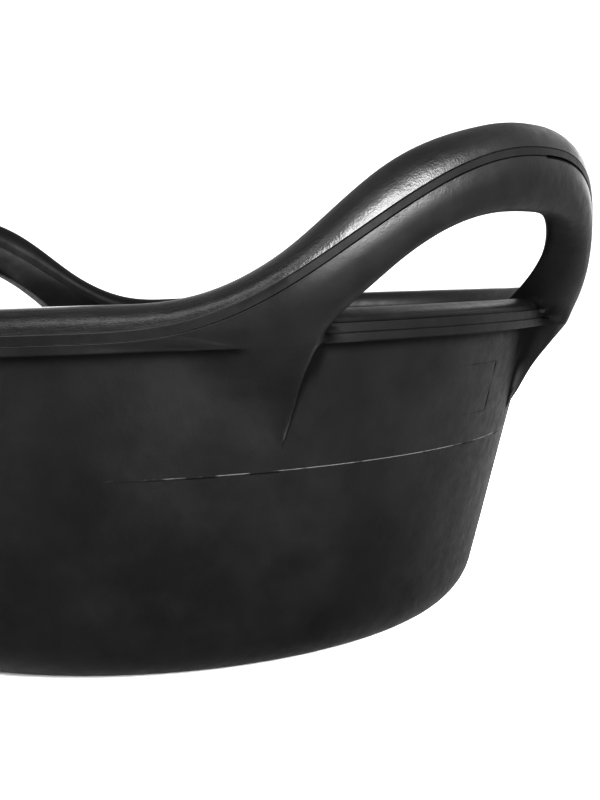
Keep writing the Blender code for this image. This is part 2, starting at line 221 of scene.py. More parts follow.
class Form:
    """The moulding's shape. Points are (azimuth, radius, height), with azimuth 0 in a handle's middle."""

    def __init__(self, sizes):
        self.s = sizes
        across = sizes.wall_top_radius - sizes.underside_radius
        up = sizes.flange_height - sizes.corner_radius
        self.slope = atan2(across, up) - asin(sizes.corner_radius / hypot(across, up))
        self.flange_top = sizes.flange_height + sizes.flange_thickness
        self.band_top = self.flange_top + sizes.band_thickness
        self.rim_inner = sizes.wall_top_radius - sizes.wall_thickness
        self.rim_outer = sizes.wall_top_radius + sizes.bead_overhang
        self.grip_outer = self.rim_outer + sizes.sweep_outreach
        self.grip_inner = self.grip_outer - sizes.grip_thickness
        self.gap_top = self.flange_top + sizes.gap_height
        self.bar_outer = sizes.flange_radius - sizes.bar_step
        self.strip_end = self.find_strip_end()
        self.corner_width = self.gap_width_at(self.band_top)
        self.edge_table = self.measure_gap_edge()
        self.outer, self.flange, self.inner = self.outer_rows(), self.flange_rows(), self.inner_rows()

    # The tub's section

    def wall_radius(self, height):
        return self.s.wall_top_radius - (self.s.flange_height - height) * tan(self.slope)

    # The rim's sweep over a handle

    def along(self, azimuth):
        return min(abs(azimuth) / self.s.sweep_half_angle, 1.0)

    def sweep_share(self, azimuth):
        level = cos(pi / 2 * self.along(azimuth) ** self.s.sweep_flatness)
        return max(level, 0.0) ** self.s.sweep_power

    def outreach_share(self, azimuth):
        return cos(pi / 2 * self.along(azimuth)) ** 2

    def outer_radius(self, azimuth):
        return mix(self.rim_outer, self.grip_outer, self.outreach_share(azimuth))

    def inner_radius(self, azimuth):
        return mix(self.rim_inner, self.grip_inner, self.outreach_share(azimuth))

    def strip_top(self, azimuth):
        return self.band_top + self.s.sweep_rise * self.sweep_share(azimuth)

    def strip_bottom(self, azimuth):
        thickness = mix(self.s.band_thickness, self.s.strip_thickness, self.sweep_share(azimuth))
        return self.strip_top(azimuth) - thickness

    def swell(self, azimuth, middle, spread):
        """A smooth swelling, 1 at its middle and 0 past its spread."""
        share = (abs(azimuth) - middle) / spread
        return cos(pi / 2 * share) ** 2 if abs(share) < 1.0 else 0.0

    def crown_height(self, azimuth):
        s = self.s
        level = mix(s.bead_height, s.crown_height, self.sweep_share(azimuth))
        shoulder = s.crown_shoulder * self.swell(azimuth, s.shoulder_angle, s.shoulder_spread)
        return level + shoulder - s.crown_neck * self.swell(azimuth, s.neck_angle, s.neck_spread)

    def find_strip_end(self):
        """Azimuth where the strip has come down nearly to the flange."""
        tolerance, clearance = 0.00001, 0.0025
        low, high = 0.0, self.s.sweep_half_angle
        while high - low > tolerance:
            middle = (low + high) / 2
            if self.strip_bottom(middle) > self.flange_top + clearance:
                low = middle
            else:
                high = middle
        return low

    # The hand gap

    def gap_width_at(self, height):
        return clamp((self.gap_top - height) / self.s.gap_height) ** (1.0 / self.s.gap_power)

    def gap_angle_at(self, height):
        return self.s.gap_half_angle * self.gap_width_at(height)

    def gap_edge_at_width(self, width):
        """(azimuth, height) on the gap's edge at a share of its half width."""
        rise = self.s.gap_height * (1.0 - width ** self.s.gap_power)
        return self.s.gap_half_angle * width, self.flange_top + rise

    def measure_gap_edge(self):
        """Distance along the gap's edge from its middle, for widths up to the bar's outer edge."""
        table, total, steps, crowding = [(0.0, 0.0)], 0.0, 400, 1.6
        last = self.gap_edge_at_width(0.0)
        for step in range(1, steps + 1):
            width = self.corner_width * (1.0 - (1.0 - step / steps) ** crowding)
            here = self.gap_edge_at_width(width)
            total += hypot((here[0] - last[0]) * self.s.flange_radius, here[1] - last[1])
            table.append((total, width))
            last = here
        return [(distance / total, width) for distance, width in table]

    def gap_edge(self, share):
        """(azimuth, height) on the gap's edge at a share of its length."""
        return self.gap_edge_at_width(looked_up(self.edge_table, share))

    def edge_share_at(self, height):
        """Share of the gap edge's length at a height."""
        turned_table = [(width, distance) for distance, width in self.edge_table]
        return looked_up(turned_table, self.gap_width_at(height))

    def dome(self, inner, outer, base, height, turn):
        """(radius, height) on a rounded bead, from its outer foot at 0 to its inner foot at pi."""
        middle, half = (inner + outer) / 2, (outer - inner) / 2
        power = 2.0 / self.s.bead_roundness
        across = copysign(abs(cos(turn)) ** power, cos(turn))
        return middle + half * across, base + height * max(sin(turn), 0.0) ** power

    def bar_dome(self, share):
        """(radius, height) over the bar under a hand gap, from its outer to its inner foot."""
        outer = self.bar_outer - self.s.bar_step
        return self.dome(self.rim_inner, outer, self.band_top, self.s.bar_height, pi * share)

    # Legs

    def crest_radius(self, height):
        s = self.s
        drop = max(s.leg_crest_height - height, 0.0) / (s.leg_crest_height - s.spike_tip_height)
        tip = self.wall_radius(s.spike_tip_height) - s.spike_sink
        return s.leg_crest_radius - (s.leg_crest_radius - tip) * drop ** s.leg_curve

    def spike_along(self, height):
        s = self.s
        return clamp((s.flange_height - height) / (s.flange_height - s.spike_tip_height))

    def spread_below(self, height):
        """How far the columns have spread again under a leg's tip."""
        s = self.s
        return ease((s.spike_tip_height - height) / (s.spike_tip_height - s.corner_radius))

    def edge_angle(self, height):
        s = self.s
        lean = mix(s.gap_half_angle, s.spike_crest_angle, self.spike_along(height) ** s.spike_crest_curve)
        lean = mix(lean, s.gap_half_angle, self.spread_below(height))
        return min(lean, self.gap_angle_at(height)) if height > self.flange_top else lean

    def foot_angle(self, height):
        s = self.s
        foot = mix(s.spike_top_angle, s.spike_tip_angle, self.spike_along(height))
        return mix(foot, s.spike_top_angle, self.spread_below(height))

    def flare(self, azimuth):
        """How far the flange bulges out under the rim where the rim starts to sweep."""
        clear, soft, fade = 0.006, 0.002, radians(14.0)
        over = self.outer_radius(azimuth) - self.s.flange_radius - clear
        return above_zero(over, soft) * ease((self.s.sweep_half_angle - azimuth) / fade)

    def filled_radius(self, height):
        """The wall with the hollow under the flange filled, as it is beside a leg."""
        s, depth, above, curve = self.s, 0.022, 0.001, 1.6
        share = clamp((height - (s.flange_height - depth)) / (depth + above))
        edge = s.flange_radius + self.flare(s.spike_top_angle)
        return mix(self.wall_radius(min(height, s.flange_height)), edge, share ** curve)

    def proud(self, height, base):
        """How far a leg's crest stands out past the wall, fading softly at the tip."""
        past_tip, soft = 0.006, 0.0008
        if height < self.s.spike_tip_height - past_tip:
            return 0.0
        return above_zero(self.crest_radius(height) - base, soft)

    def leg_share(self, column, corner, tail):
        """Share across a leg, from the corner at its edge down to 0, for a column counted from the edge."""
        return 0.0 if column >= LEG_COLUMNS else mix(corner, tail, column / (LEG_COLUMNS - 1))

    # Rows of the outer face from the underside's middle to the flange

    def outer_rows(self):
        """(radius, height, height beside a leg) of each row."""
        s, lip, half_line, half_core = self.s, 0.0006, 0.0003, 0.00012
        rows = [(s.underside_radius * share, 0.0) for share in (0.0, 0.25, 0.5, 0.75, 0.92)]
        for step in range(CORNER_ROWS + 1):
            turn = mix(-pi / 2, -self.slope, step / CORNER_ROWS)
            radius = s.underside_radius + s.corner_radius * cos(turn)
            rows.append((radius, s.corner_radius * (1.0 + sin(turn))))
        start, stop, steps = rows[-1][1], s.mould_line_height - lip, 15
        heights = [mix(start, stop, step / steps) for step in range(1, steps + 1)]
        for offset in (-half_line, -half_core, 0.0, half_core, half_line):
            heights.append(s.mould_line_height + offset)
        start, stop, steps = s.mould_line_height + lip, s.flange_height - 2.0 * lip, 26
        heights += [mix(start, stop, step / steps) for step in range(steps + 1)]
        rows += [(self.wall_radius(height), height) for height in heights]
        rows = [(radius, height, height) for radius, height in rows]
        # Then out along the flange's underside, with its corners a little rounded
        wall, flange, top = s.wall_top_radius, s.flange_radius, s.flange_height
        return rows + [
            (wall - 0.0001, top - 0.0004, top - 0.0009),
            (wall + 0.0005, top, top - 0.0005),
            (mix(wall, flange, 0.5), top, top - 0.0001),
            (flange - FLANGE_EDGE, top, top + 0.0003),
            (flange - 0.0002, top + 0.0002, top + 0.0007),
            (flange, top + FLANGE_EDGE, top + 0.0011),
        ]

    def flange_rows(self):
        """(radius, height) of each row from the flange's edge to the bar's outer edge."""
        s, width = self.s, self.s.groove_width
        return [
            (s.flange_radius, s.flange_height + FLANGE_EDGE),
            (s.flange_radius, s.flange_height + 0.0022),
            (s.flange_radius, self.flange_top - width),
            (mix(s.flange_radius, self.bar_outer, 0.5), self.flange_top),
            (self.bar_outer, self.flange_top + width),
            (self.bar_outer, mix(self.flange_top, self.band_top, 0.5)),
            (self.bar_outer, self.band_top - width),
            (self.bar_outer - s.bar_step, self.band_top),
        ]

    # Stations over a handle

    def station(self, number):
        """Sizes of the section at a station, from the grip's middle to the bar's corner."""
        share = number / STATIONS
        azimuth = self.strip_end * share
        edge = self.gap_edge(share)
        rise = (edge[1] - self.flange_top) / self.s.gap_height
        takeoff = (self.grip_outer - self.crest_radius(self.gap_top)) * rise ** self.s.leg_takeoff
        strip = (azimuth, self.strip_bottom(azimuth))
        return {
            "share": share,
            "strip": strip,
            "outer": (self.outer_radius(azimuth), self.crest_radius(edge[1]) + takeoff),
            "inner": (self.inner_radius(azimuth), mix(self.rim_inner, self.grip_inner, rise)),
            "power": mix(self.s.grip_roundness, self.s.leg_sharpness, share),
            "length": hypot((azimuth - edge[0]) * self.s.flange_radius, strip[1] - edge[1]),
        }

    def on_station(self, at, edge, share, depth):
        """A point of a section: share from the strip to the gap, depth from 1 outside to -1 inside."""
        outer = mix(at["outer"][0], at["outer"][1], share)
        inner = mix(at["inner"][0], at["inner"][1], share)
        azimuth, height = blend(at["strip"], edge, share)
        return azimuth, (outer + inner) / 2 + (outer - inner) / 2 * depth, height

    def outer_leg(self, number, column):
        """The grip's outer face: column 0 on the edge at the hand gap, the last under the strip."""
        at = self.station(number)
        share = self.leg_share(column, section_corner(at["power"]), self.s.groove_width / at["length"])
        depth = squared(at["power"], share)
        azimuth, radius, height = self.on_station(at, self.gap_edge(at["share"]), share, depth)
        return azimuth, radius - (self.s.groove_depth if column >= LEG_COLUMNS else 0.0), height

    def corner_point(self):
        """The leg's outer edge at the bar's outer corner."""
        return self.outer_leg(STATIONS, 0)

    def tunnel_end(self, column):
        """(radius, height, rounding) where the tunnel meets the bar, column by column."""
        if column <= SIDE_COLUMNS:
            back = 1.0 - column / SIDE_COLUMNS
            radius = mix(self.bar_outer - self.s.bar_step, self.corner_point()[1], back)
            return radius, self.band_top, back ** 4
        radius, height = self.bar_dome((column - SIDE_COLUMNS) / BAR_ROWS)
        return radius, height, 0.0

    def tunnel(self, number, column):
        """The hand gap's own face: column 0 on the outer edge, the last on the inner edge."""
        at, end = self.station(number), self.station(STATIONS)
        power, end_power, late = at["power"], end["power"], at["share"] ** 4
        spread = 1.0 - 2.0 * column / (SIDE_COLUMNS + BAR_ROWS)
        end_radius, end_height, rounding = self.tunnel_end(column)
        edge = self.gap_edge(at["share"] * self.edge_share_at(end_height))
        depth, end_depth = spread * section_corner(power), spread * section_corner(end_power)
        share, end_share = squared(power, depth), squared(end_power, end_depth)
        radius = self.on_station(at, edge, share, depth)[1]
        radius += late * (end_radius - self.on_station(end, edge, end_share, end_depth)[1])
        share += late * (mix(1.0, section_corner(end_power), rounding) - end_share)
        azimuth, height = blend(at["strip"], edge, share)
        return azimuth, radius, height

    def inner_leg(self, number, column):
        """The grip's inner face: column 0 on the edge at the hand gap, the last under the strip."""
        at, end = self.station(number), self.station(STATIONS)
        power, end_power, late = at["power"], end["power"], at["share"] ** 4
        back = 1.0 - column / LEG_COLUMNS
        share, end_share = back * section_corner(power), back * section_corner(end_power)
        edge = self.gap_edge(at["share"])
        radius = self.on_station(at, edge, share, -squared(power, share))[1]
        at_end = self.on_station(end, edge, end_share, -squared(end_power, end_share))[1]
        radius += late * (mix(self.inner_radius(self.strip_end), self.rim_inner, back) - at_end)
        azimuth, height = blend(at["strip"], edge, share + late * (back - end_share))
        return azimuth, radius, height

    # Outer face, by row and column

    def open_azimuth(self, start, column):
        return mix(start, pi / 2, column / OPEN_COLUMNS)

    def leg_point(self, row, column):
        """A point across a leg on a row under the flange."""
        s, (radius, _, height), tail = self.s, row, 0.02
        share = self.leg_share(column, section_corner(s.leg_sharpness), tail)
        depth = squared(s.leg_sharpness, share)
        hollow = mix(s.spike_top_hollow, s.spike_hollow, min(2.0 * self.spike_along(height), 1.0))
        base = self.filled_radius(height) if height > s.corner_radius else radius
        azimuth = mix(self.foot_angle(height), self.edge_angle(height), share)
        return azimuth, base + self.proud(height, base) * share ** hollow * depth, height

    def fillet_share(self, height):
        """1 up to the flange's top, fading to 0 where the bar's bead starts."""
        return ease((self.band_top - height) / (self.band_top - self.flange_top))

    def gap_side(self, height, radius, leg_edge):
        """Azimuth where the wall or the bar ends and the fillet of a leg's side starts."""
        room = 0.5 * (leg_edge[1] - radius)
        fillet = min(max(room, 0.0), self.s.leg_fillet)
        return self.edge_angle(height) - self.fillet_share(height) * fillet / self.s.flange_radius

    def side_point(self, gap_end, leg_edge, column):
        """A point on a leg's side, from the wall or the bar out to the leg's edge."""
        out, filleted = column / SIDE_COLUMNS, self.fillet_share(gap_end[2])
        turned = mix(out ** 4, 1.0 - (1.0 - out) ** 3, filleted)
        shares = (turned, out ** mix(1.0, 1.6, filleted), out ** 4)
        return tuple(mix(start, end, share) for start, end, share in zip(gap_end, leg_edge, shares))

    def under_gap(self, radius, height, beside, leg_edge, column):
        """A point of the wall or the bar under a hand gap, or of the leg's side that follows it."""
        gap_end = self.gap_side(beside, radius, leg_edge)
        if column <= GAP_COLUMNS:
            return gap_end * column / GAP_COLUMNS, radius, height
        return self.side_point((gap_end, radius, height), leg_edge, column - GAP_COLUMNS)

    def open_point(self, row, column):
        """A point on the open wall beside a leg, where the flange's underside fades in."""
        s, (radius, height, beside), fade_angle = self.s, row, radians(5.0)
        foot = self.foot_angle(beside)
        azimuth = self.open_azimuth(foot, column)
        filled = self.filled_radius(beside) if beside > s.corner_radius else radius
        fade = ease((azimuth - foot) / fade_angle)
        flange = max(radius - s.wall_top_radius, 0.0) / (s.flange_radius - s.wall_top_radius)
        open_radius = radius + self.flare(azimuth) * flange
        return azimuth, mix(filled, open_radius, fade), mix(beside, height, fade)

    def wall_point(self, number, column):
        """Any point of the outer face under the flange's edge."""
        row = self.outer[number]
        if column <= GAP_COLUMNS + SIDE_COLUMNS:
            return self.under_gap(*row, self.leg_point(row, 0), column)
        column -= GAP_COLUMNS + SIDE_COLUMNS
        if column <= LEG_COLUMNS:
            return self.leg_point(row, column)
        return self.open_point(row, column - LEG_COLUMNS)

    def web_point(self, number, column):
        """Any point of the outer face between the flange's edge and the strip or the bar's edge."""
        base = self.outer[-1]
        (radius, height), bottom, top = self.flange[number], self.flange[0][1], self.flange[-1][1]
        share = (height - bottom) / (top - bottom)
        if column <= GAP_COLUMNS + SIDE_COLUMNS:
            leg_edge = blend(self.leg_point(base, 0), self.corner_point(), share)
            return self.under_gap(radius, height, height, leg_edge, column)
        column -= GAP_COLUMNS + SIDE_COLUMNS
        if column < LEG_COLUMNS:
            return blend(self.leg_point(base, column), self.outer_leg(STATIONS, column), share)
        column -= LEG_COLUMNS
        azimuth = self.open_azimuth(self.strip_end, column)
        outer, low = self.outer_radius(azimuth), self.strip_bottom(azimuth)
        if number == len(self.flange) - 1:
            return azimuth, outer - self.s.groove_depth, low
        return blend(self.open_point(base, column), (azimuth, outer, low - self.s.groove_width), share)

    # Inner face, by row and column, from the rim down to the floor's middle

    def inner_rows(self):
        """(radius, height) of each row, from just under the rim to the floor's middle."""
        s, bottom, fillet = self.s, self.s.floor_thickness, self.s.inner_corner_radius
        fillet_height = bottom + fillet * (1.0 - sin(self.slope))
        centre = self.wall_radius(fillet_height) - s.wall_thickness - fillet * cos(self.slope)
        neck_depth, steps = 0.008, 22
        top = s.flange_height - neck_depth
        heights = [mix(top, fillet_height, step / steps) for step in range(steps + 1)]
        rows = [(self.wall_radius(height) - s.wall_thickness, height) for height in heights]
        for step in range(1, CORNER_ROWS + 1):
            turn = mix(-self.slope, -pi / 2, step / CORNER_ROWS)
            rows.append((centre + fillet * cos(turn), bottom + fillet * (1.0 + sin(turn))))
        return rows + [(centre * share, bottom) for share in (0.8, 0.6, 0.4, 0.2, 0.0)]

    def inner_top(self, column):
        """The inner face's upper edge: under the bar, across a leg, then under the strip."""
        if column <= GAP_COLUMNS:
            return self.gap_angle_at(self.band_top) * column / GAP_COLUMNS, self.rim_inner, self.band_top
        column -= GAP_COLUMNS
        if column <= LEG_COLUMNS:
            return self.inner_leg(STATIONS, column)
        azimuth = self.open_azimuth(self.strip_end, column - LEG_COLUMNS)
        return azimuth, self.inner_radius(azimuth), self.strip_bottom(azimuth)

    def inner_point(self, number, column):
        """Any point of the inner face; the first rows ease from the rim into the wall."""
        azimuth, rim_radius, rim_height = self.inner_top(column)
        if number >= NECK_ROWS:
            return (azimuth, *self.inner[number - NECK_ROWS])
        radius, height = self.inner[0]
        share = number / NECK_ROWS
        return azimuth, mix(rim_radius, radius, ease(share)), mix(rim_height, height, share)

    # The bar's top, the rim and the hidden face that the rim sits on

    def bar_point(self, row, column):
        radius, height = self.bar_dome(row / BAR_ROWS)
        return self.gap_angle_at(height) * column / GAP_COLUMNS, radius, height

    def seat_point(self, row, column):
        azimuth = self.rim_azimuth(column)
        radius = self.inner_radius(azimuth) if row else self.outer_radius(azimuth) - self.s.groove_depth
        return azimuth, radius, self.strip_bottom(azimuth)

    def rim_azimuth(self, column):
        if column <= STATIONS:
            return self.strip_end * column / STATIONS
        return self.open_azimuth(self.strip_end, column - STATIONS)

    def rim_point(self, row, column):
        """Any point of the rim's section, from the strip's lower line over the bead to its inner side."""
        s, seat_gap, first_turn = self.s, 0.00004, 0.03
        azimuth = self.rim_azimuth(column)
        outer, inner = self.outer_radius(azimuth), self.inner_radius(azimuth)
        low, high = self.strip_bottom(azimuth) + seat_gap, self.strip_top(azimuth)
        sunk, width = outer - s.groove_depth, s.groove_width
        strip = ((sunk, low), (outer, low + width), (outer, high - width), (sunk, high))
        if row < STRIP_POINTS:
            return (azimuth, *strip[row])
        if row == RIM_ROWS:
            return azimuth, inner, low
        turn = mix(first_turn, pi, (row - STRIP_POINTS) / DOME_ROWS)
        return (azimuth, *self.dome(inner, outer, high, self.crown_height(azimuth), turn))


def upright(point):
    """A point (azimuth, radius, height) in the object's own frame."""
    azimuth, radius, height = point
    return Vector((radius * cos(azimuth), radius * sin(azimuth), height))


def where(vert):
    """(azimuth, radius, height) of a vert, as if all quarters lay on the first."""
    x, y, height = vert.co
    return atan2(abs(y), abs(x)), hypot(x, y), height


def lay_sheet(bm, columns, rows, place):
    """Lay a grid of faces and put each point where place(row, column) says."""
    made = bmesh.ops.create_grid(bm, x_segments=columns, y_segments=rows, size=0.5)
    for vert in made["verts"]:
        column = round((vert.co.x + 0.5) * columns)
        row = round((vert.co.y + 0.5) * rows)
        vert.co = upright(place(row, column))


def complete(bm):
    """Make the whole from one quarter: mirror it about its handle's middle, then turn that half about."""
    bmesh.ops.remove_doubles(bm, verts=bm.verts, dist=MERGE_DISTANCE)
    for turn in (Matrix.Scale(-1.0, 4, (0.0, 1.0, 0.0)), Matrix.Rotation(pi, 4, "Z")):
        made = bmesh.ops.duplicate(bm, geom=bm.verts[:] + bm.edges[:] + bm.faces[:])
        copies = [item for item in made["geom"] if isinstance(item, bmesh.types.BMVert)]
        bmesh.ops.transform(bm, matrix=turn, verts=copies)
    bmesh.ops.remove_doubles(bm, verts=bm.verts, dist=MERGE_DISTANCE)
    bmesh.ops.dissolve_degenerate(bm, dist=MERGE_DISTANCE / 2, edges=bm.edges)
    bmesh.ops.recalc_face_normals(bm, faces=bm.faces)
    loose = [edge for edge in bm.edges if len(edge.link_faces) != 2]
    if loose:
        raise RuntimeError("%d edges are open, the first at %s" % (len(loose), loose[0].verts[0].co[:]))


def soften_legs(bm, form):
    """Ease the legs' edges where they pass the flange and the bar, most in the middle of that length."""
    s, passes, chosen = form.s, 14, []
    edge_margin, foot_margin, standing, strip_margin = 0.03, 0.02, 0.0008, 0.006
    below, above, margin = 0.030, 0.016, 0.001
    for vert in bm.verts:
        azimuth, radius, height = where(vert)
        base = s.flange_radius if height > s.flange_height else form.wall_radius(height)
        past_edge = azimuth > form.edge_angle(height) - edge_margin
        before_foot = azimuth < form.foot_angle(height) - foot_margin
        under_strip = height < form.strip_bottom(azimuth) - strip_margin
        if past_edge and before_foot and under_strip and radius > base + standing:
            chosen.append(vert)
    for step in range(passes):
        reach = 1.0 - step / passes
        low = s.flange_height - margin - below * reach
        high = form.band_top + margin + above * reach
        near = [vert for vert in chosen if low < vert.co.z < high]
        bmesh.ops.smooth_vert(
            bm, verts=near, factor=0.5, use_axis_x=True, use_axis_y=True, use_axis_z=True,
        )


def settle(bm, depth):
    """Sink the surface unevenly by a fraction of a millimetre, as moulded rubber is never quite true."""
    waves_per_metre, ground = 28.0, 0.0005
    bm.normal_update()
    moves = []
    for vert in bm.verts:
        if vert.co.z > ground:
            sunk = depth * (0.5 + 0.5 * noise.noise(vert.co * waves_per_metre))
            moves.append((vert, vert.normal * sunk))
    for vert, move in moves:
        vert.co -= move


# What the materials read at each point
MARKS = ("across", "seam", "wear", "shade", "edge", "dust_and_painted_fill")


class Spot:
    """A point of the finished surface, with a method for each of its marks."""

    def __init__(self, form, vert):
        self.form = form
        self.azimuth, self.radius, self.height = azimuth, radius, height = where(vert)
        out_x, out_y = (copysign(n, n * at) for n, at in zip(vert.normal.xy, vert.co.xy))
        self.to_gap = out_x * sin(azimuth) - out_y * cos(azimuth)
        self.over = height - form.strip_bottom(azimuth)
        outer, inner = form.outer_radius(azimuth), form.inner_radius(azimuth)
        self.inward = outer - radius
        self.across_rim = self.inward / (outer - inner)
        past_edge, inside_gap = 0.0005, 0.006
        in_gap = azimuth < form.gap_angle_at(form.band_top) - inside_gap
        self.on_bar = in_gap and radius < form.bar_outer + past_edge
        base = form.wall_radius(height) if height < form.s.flange_height else form.s.flange_radius
        self.beside_edge = radius * (azimuth - form.edge_angle(height))
        self.stands = radius - base
        self.stands_share = self.stands / max(form.crest_radius(height) - base, 0.001)

    def across(self):
        """Distance across the rim's sweep."""
        return self.over + self.inward

    def seam(self):
        """Height over the strip's lower line, out of reach on a grip's inner side."""
        just_under, outer_side, out_of_reach = -0.0008, 0.004, 0.02
        near = self.over > just_under or self.inward < outer_side
        return self.over if near else self.over - out_of_reach

    def wear(self):
        """How rubbed it is: the bead most, the grips less, the strip not at all."""
        held, top_of_arch, on_bar, inner_side = 0.7, 0.2, 0.5, 0.25
        rubbed_depth, bar_low, bar_high, slack = 0.009, 0.0004, 0.006, 0.0001
        hand_end, hand_fade = radians(28.0), radians(8.0)
        top_end, top_fade = radians(3.0), radians(10.0)
        inner_start, inner_fade = 0.36, 0.3
        by_hand = ease((hand_end - self.azimuth) / hand_fade)
        rubbed = held * by_hand * ease(1.0 + self.over / rubbed_depth)
        if self.over > 0.0:
            rubbed = mix(1.0, held, by_hand)
        rubbed *= mix(top_of_arch, 1.0, ease((self.azimuth - top_end) / top_fade))
        rubbed *= mix(1.0, inner_side, ease((self.across_rim - inner_start) / inner_fade))
        if self.on_bar and bar_low < self.height - self.form.band_top < bar_high:
            rubbed = on_bar
        strip = self.form.strip_top(self.azimuth) - self.form.strip_bottom(self.azimuth)
        return 0.0 if -slack < self.over < strip + slack else rubbed

    def shade(self):
        """Where little light comes in: under the flange, at a bar's foot and along a leg's side."""
        form, s, height = self.form, self.form.s, self.height
        depth, fade, line_half, bar_shade = 0.0042, 0.003, 0.0003, 0.8
        fillet_width, fillet_share, share_fade, sunk = 0.010, 0.55, 0.3, 0.002
        leg = window(self.azimuth, s.gap_half_angle, s.spike_top_angle, radians(1.5))
        under = (1.0 - leg) * ease((height - s.flange_height + depth) / fade)
        under = under if height < s.flange_height + line_half else 0.0
        bar_foot = bar_shade if self.on_bar and abs(height - form.band_top) < line_half else 0.0
        fillet = window(self.to_gap, 0.1, 0.9, 0.2) * ease((fillet_share - self.stands_share) / share_fade)
        fillet *= window(height, s.spike_tip_height, form.band_top + fade, fade)
        fillet *= ease((fillet_width - abs(self.beside_edge)) / fade)
        outside = self.radius > form.wall_radius(min(height, s.flange_height)) - sunk
        return max(under, bar_foot, fillet if outside else 0.0)

    def edge(self):
        """Painted highlight where an edge catches the light: along a leg, at its tip and on top of the level
        bead.
        """
        form, s, height = self.form, self.form.s, self.height
        along_leg, at_tip, standing, tip_line = 0.055, 0.14, 0.0008, 0.0012
        over_bar, near_fade, tip_length, tip_fade = 0.012, 0.006, 0.026, 0.010
        near = window(height, s.spike_tip_height, form.band_top + over_bar, near_fade)
        turned = window(self.to_gap, 0.25, 0.95, 0.2) * ease((self.stands_share - 0.7) / 0.2)
        tip = exp(-(self.beside_edge / tip_line) ** 2)
        tip *= ease((s.spike_tip_height + tip_length - height) / tip_fade)
        leg = near * max(along_leg * turned, at_tip * tip) if self.stands > standing else 0.0
        bead_top, within, line_share = form.band_top + s.bead_height, 0.002, 0.09
        if abs(height - bead_top) >= within:
            return leg
        crest = exp(-((self.across_rim - 0.5) / line_share) ** 2)
        level = window(self.azimuth, radians(44.0), pi, radians(8.0))
        return max(leg, crest * level)

    def dust_and_painted_fill(self):
        """How much feed dust lies on it, all of it inside the bowl; the same pale colour also stands in as
        painted fill light there.
        """
        s, clean_depth = self.form.s, 0.030
        in_bowl = self.radius < self.form.wall_radius(self.height) - 0.6 * s.wall_thickness
        if not in_bowl or self.height <= 0.5 * s.floor_thickness:
            return 0.0
        return ease((s.flange_height - self.height) / clean_depth)


def mark_places(bm, form):
    """Give each point the marks that the material reads."""
    layers = {name: bm.verts.layers.float.new(name) for name in MARKS}
    for vert in bm.verts:
        spot = Spot(form, vert)
        for name, layer in layers.items():
            vert[layer] = getattr(spot, name)()


def add_object(name, data):
    made = bpy.data.objects.new(name, data)
    bpy.context.scene.collection.objects.link(made)
    return made


def finish_piece(name, bm, form, material, nodes):
    """Turn a bmesh into a piece that rides on the feeder and stands for CAD nodes."""
    mark_places(bm, form)
    mesh = bpy.data.meshes.new(name)
    bm.to_mesh(mesh)
    bm.free()
    mesh.shade_smooth()
    mesh.set_sharp_from_angle(angle=SHARP_ANGLE)
    mesh.materials.append(material)
    piece = add_object(name, mesh)
    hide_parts(*nodes)
    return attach(piece, "root")


def lay_tub(bm, form):
    """Lay the sheets of the tub's quarter."""
    inner_columns = GAP_COLUMNS + LEG_COLUMNS + OPEN_COLUMNS
    outer_columns = inner_columns + SIDE_COLUMNS
    sheets = (
        (outer_columns, len(form.outer) - 1, form.wall_point),
        (outer_columns, len(form.flange) - 1, form.web_point),
        (GAP_COLUMNS, BAR_ROWS, form.bar_point),
        (LEG_COLUMNS, STATIONS, form.outer_leg),
        (SIDE_COLUMNS + BAR_ROWS, STATIONS, form.tunnel),
        (LEG_COLUMNS, STATIONS, form.inner_leg),
        (inner_columns, len(form.inner) - 1 + NECK_ROWS, form.inner_point),
        (STATIONS + OPEN_COLUMNS, 1, form.seat_point),
    )
    for columns, rows, place in sheets:
        lay_sheet(bm, columns, rows, place)


def lay_rim(bm, form):
    """Lay the sheets of the rim's quarter."""
    columns = STATIONS + OPEN_COLUMNS
    lay_sheet(bm, columns, RIM_ROWS, form.rim_point)
    lay_sheet(bm, columns, 1, lambda row, column: form.rim_point(RIM_ROWS * row, column))


def build_tub(form, material):
    """Floor, wall, flange, bars and the lower halves of both handles."""
    bm, unevenness = bmesh.new(), 0.00025
    lay_tub(bm, form)
    complete(bm)
    soften_legs(bm, form)
    settle(bm, unevenness)
    return finish_piece("feeder_tub", bm, form, material, TUB_NODES)


def build_rim(form, material):
    """The strip and the rounded bead, once round the feeder and over both handles."""
    bm, unevenness = bmesh.new(), 0.00020
    lay_rim(bm, form)
    complete(bm)
    settle(bm, unevenness)
    return finish_piece("feeder_rim", bm, form, material, RIM_NODES)


# Materials

